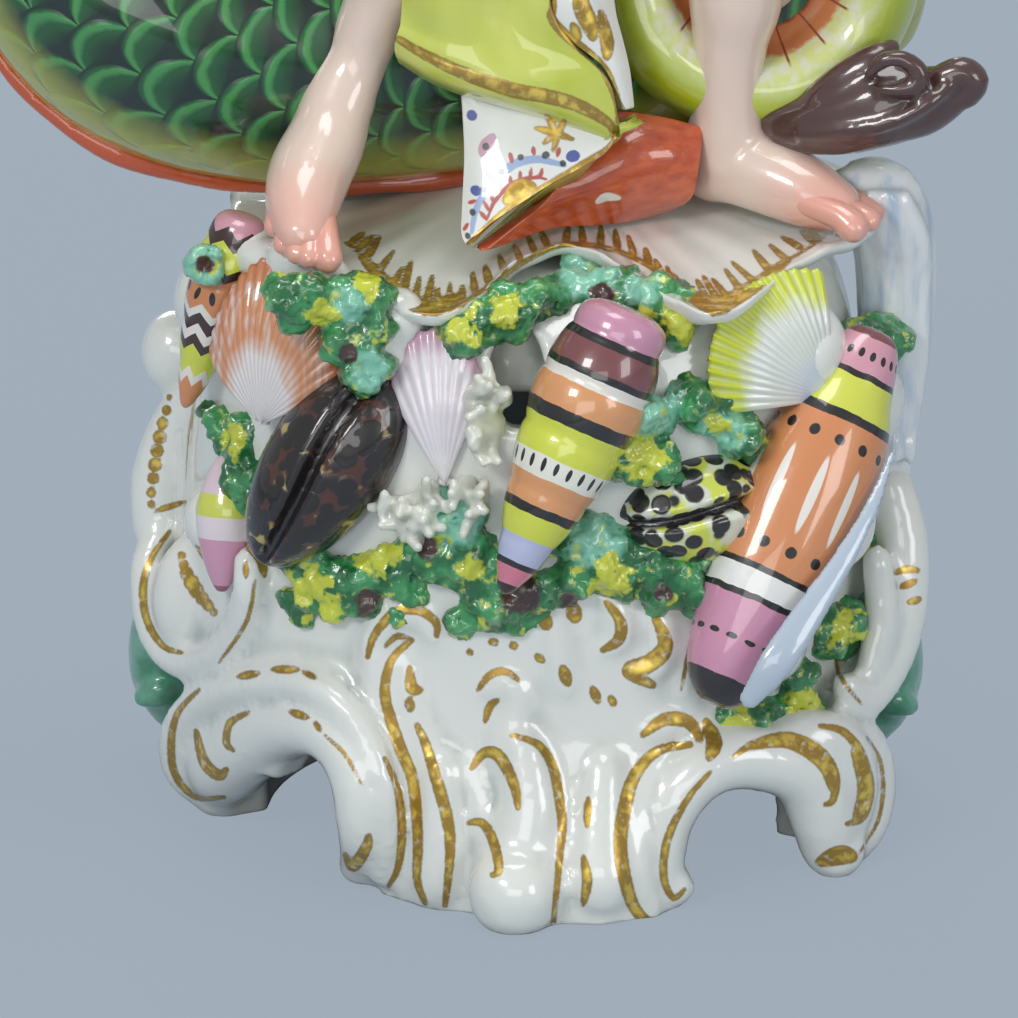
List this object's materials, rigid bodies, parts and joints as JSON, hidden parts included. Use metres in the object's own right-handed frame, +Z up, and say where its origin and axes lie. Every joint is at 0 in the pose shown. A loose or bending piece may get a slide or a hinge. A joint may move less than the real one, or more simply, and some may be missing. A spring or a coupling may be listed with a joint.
{
  "type": "neptune figure",
  "caption": "Glazed porcelain sea-god figure with cloak and dolphin on a tall rococo shell-encrusted pedestal.",
  "frame": {"origin": "middle of the figure's box, at the table", "axes": "+Z up, the figure faces -Y, +X to the viewer's right"},
  "size_m": [0.1242, 0.0772, 0.2362],
  "materials": {
    "glazed_porcelain": "soft white glaze, painted in enamel colours and gilded"
  },
  "bodies": {
    "root": {"neptune_figure": "glazed_porcelain"}
  },
  "joints": []
}
